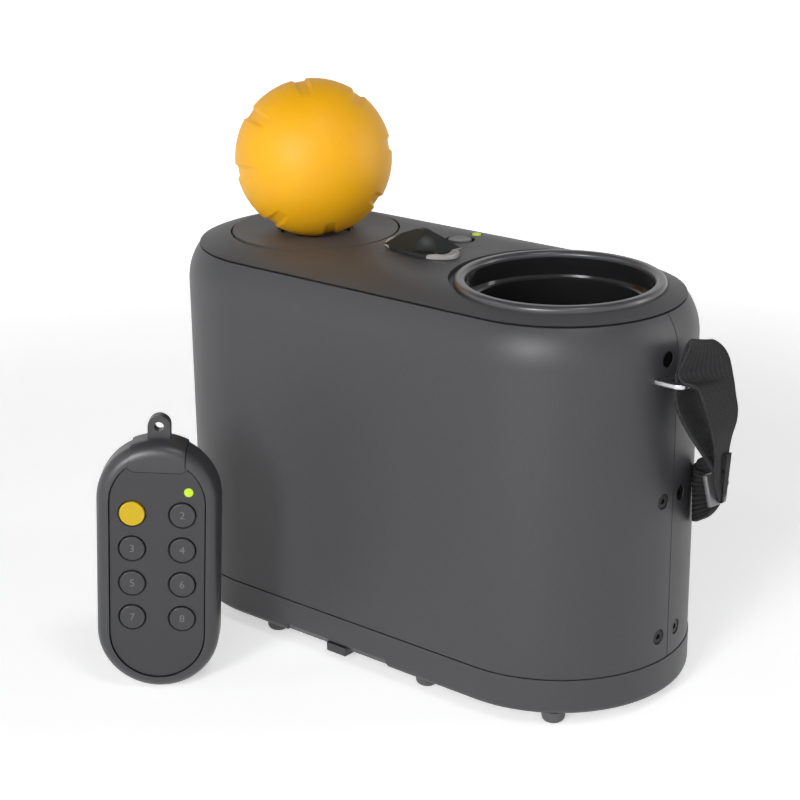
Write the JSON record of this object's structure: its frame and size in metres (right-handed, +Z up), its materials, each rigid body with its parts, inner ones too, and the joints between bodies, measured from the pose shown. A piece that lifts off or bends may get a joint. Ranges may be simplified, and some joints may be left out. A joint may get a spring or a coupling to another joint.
{
  "type": "ball launcher",
  "caption": "Free-standing automatic ball launcher for dogs: oval case with round launch barrel, ball rest, selector knob, carry strap, rubber ball and keypad remote control.",
  "frame": {"origin": "on the floor under the middle of the case, midway between the axes of its two round ends", "axes": "+X towards the end with the launch barrel and the carry strap, -Y the front, +Z up"},
  "size_m": [0.2548, 0.1829, 0.226],
  "materials": {
    "case_shell": "fine satin texture",
    "deck_plastic": "satin",
    "black_gloss": "gloss",
    "dark_plastic": "matte",
    "button_grey": "satin",
    "foot_rubber": "matte",
    "black_screw": "black oxide",
    "ring_steel": "brushed",
    "shaft_steel": "ground",
    "plate_aluminium": "sheet",
    "bush_brass": "turned",
    "gear_nylon": "moulded",
    "webbing": "ribbed webbing",
    "ball_rubber": "satin",
    "pad_foam": "soft",
    "board_green": "coated",
    "key_yellow": "satin",
    "light_lens": "translucent"
  },
  "bodies": {
    "case": {"front_shell": "case_shell", "rear_shell": "case_shell", "base_tub": "case_shell", "top_deck": "deck_plastic", "ball_rest_cap": "deck_plastic", "muzzle_ring": "deck_plastic", "launch_barrel": "black_gloss", "shell_rails": "dark_plastic", "chassis_plate": "dark_plastic", "spring_seat": "dark_plastic", "rotary_switch": "dark_plastic", "ball_sensors": "dark_plastic", "battery_pack": "dark_plastic", "rubber_feet": "foot_rubber", "end_screws": "black_screw", "base_screws": "black_screw", "strap_ring": "ring_steel", "strap_slider": "ring_steel", "door_hinge_pin": "shaft_steel", "gearbox_standoffs": "shaft_steel", "launch_spring": "shaft_steel", "gear_motor": "shaft_steel", "battery_contacts": "shaft_steel", "gearbox_front_plate": "plate_aluminium", "gearbox_rear_plate": "plate_aluminium", "shaft_bushings": "bush_brass", "antenna": "bush_brass", "carry_strap": "webbing", "control_board": "board_green", "switch_board": "board_green", "status_light": "light_lens"},
    "door": {"battery_door": "case_shell"},
    "latch": {"door_latch": "case_shell"},
    "cup": {"launch_cup": "dark_plastic", "cup_pad": "pad_foam", "cocking_rack": "dark_plastic"},
    "sector": {"sector_gear": "gear_nylon", "sector_shaft": "shaft_steel"},
    "reduction": {"reduction_gear": "gear_nylon", "reduction_pinion": "gear_nylon", "reduction_shaft": "shaft_steel"},
    "rotor": {"motor_pinion": "shaft_steel"},
    "knob": {"selector_knob": "black_gloss"},
    "power_button": {"power_button": "button_grey"},
    "ball": {"play_ball": "ball_rubber"},
    "remote": {"remote_bezel": "case_shell", "remote_rear_shell": "case_shell", "remote_face_panel": "case_shell", "remote_light": "light_lens", "remote_loop_cap": "case_shell", "remote_board": "board_green", "remote_cell": "shaft_steel"},
    "key_1": {"remote_key_1": "key_yellow"},
    "key_2": {"remote_key_2": "button_grey"},
    "key_3": {"remote_key_3": "button_grey"},
    "key_4": {"remote_key_4": "button_grey"},
    "key_5": {"remote_key_5": "button_grey"},
    "key_6": {"remote_key_6": "button_grey"},
    "key_7": {"remote_key_7": "button_grey"},
    "key_8": {"remote_key_8": "button_grey"}
  },
  "joints": [
    {"name": "launch_slide", "type": "slide", "parent": "case", "child": "cup", "axis": [0, 0, 1], "range_m": [-0.045, 0], "stiffness_N_per_m": 400, "springref_m": 0.02, "deforming": ["launch_spring"]},
    {"name": "sector_turn", "type": "hinge", "parent": "case", "child": "sector", "pos_m": [0.00314, 0, 0.062], "axis": [0, 1, 0], "range_deg": [-1, 161]},
    {"name": "reduction_turn", "type": "hinge", "parent": "case", "child": "reduction", "pos_m": [-0.02345, 0, 0.05731], "axis": [0, 1, 0], "range_deg": [-456, 1]},
    {"name": "motor_turn", "type": "hinge", "parent": "case", "child": "rotor", "pos_m": [-0.03721, 0, 0.03765], "axis": [0, 1, 0], "range_deg": [-1, 1816]},
    {"name": "ball_lift", "type": "slide", "parent": "case", "child": "ball", "axis": [0, 0, 1], "range_m": [0, 0.25]},
    {"name": "knob_turn", "type": "hinge", "parent": "case", "child": "knob", "pos_m": [-0.004, -0.0012, 0.1635], "axis": [0, 0, 1], "range_deg": [-60, 60]},
    {"name": "power_press", "type": "slide", "parent": "case", "child": "power_button", "axis": [0, 0, -1], "range_m": [0, 0.0012], "stiffness_N_per_m": 400, "springref_m": -0.001},
    {"name": "door_swing", "type": "hinge", "parent": "case", "child": "door", "pos_m": [-0.00875, -0.01335, 0.005], "axis": [1, 0, 0], "range_deg": [0, 95]},
    {"name": "latch_slide", "type": "slide", "parent": "door", "child": "latch", "axis": [0, 1, 0], "range_m": [0, 0.0022], "stiffness_N_per_m": 300, "springref_m": -0.001},
    {"name": "remote_lift", "type": "slide", "parent": "case", "child": "remote", "axis": [0, 0, 1], "range_m": [0, 0.25]},
    {"name": "key_1_press", "type": "slide", "parent": "remote", "child": "key_1", "axis": [-0.632, 0.7749, 0], "range_m": [0, 0.0008], "stiffness_N_per_m": 300, "springref_m": -0.0008},
    {"name": "key_2_press", "type": "slide", "parent": "remote", "child": "key_2", "axis": [-0.632, 0.7749, 0], "range_m": [0, 0.0008], "stiffness_N_per_m": 300, "springref_m": -0.0008},
    {"name": "key_3_press", "type": "slide", "parent": "remote", "child": "key_3", "axis": [-0.632, 0.7749, 0], "range_m": [0, 0.0008], "stiffness_N_per_m": 300, "springref_m": -0.0008},
    {"name": "key_4_press", "type": "slide", "parent": "remote", "child": "key_4", "axis": [-0.632, 0.7749, 0], "range_m": [0, 0.0008], "stiffness_N_per_m": 300, "springref_m": -0.0008},
    {"name": "key_5_press", "type": "slide", "parent": "remote", "child": "key_5", "axis": [-0.632, 0.7749, 0], "range_m": [0, 0.0008], "stiffness_N_per_m": 300, "springref_m": -0.0008},
    {"name": "key_6_press", "type": "slide", "parent": "remote", "child": "key_6", "axis": [-0.632, 0.7749, 0], "range_m": [0, 0.0008], "stiffness_N_per_m": 300, "springref_m": -0.0008},
    {"name": "key_7_press", "type": "slide", "parent": "remote", "child": "key_7", "axis": [-0.632, 0.7749, 0], "range_m": [0, 0.0008], "stiffness_N_per_m": 300, "springref_m": -0.0008},
    {"name": "key_8_press", "type": "slide", "parent": "remote", "child": "key_8", "axis": [-0.632, 0.7749, 0], "range_m": [0, 0.0008], "stiffness_N_per_m": 300, "springref_m": -0.0008}
  ],
  "couplings": [
    {"joint": "sector_turn", "follows": "launch_slide", "rad_per_m": -61.538},
    {"joint": "reduction_turn", "follows": "launch_slide", "rad_per_m": 175.82},
    {"joint": "motor_turn", "follows": "launch_slide", "rad_per_m": -703.3}
  ]
}
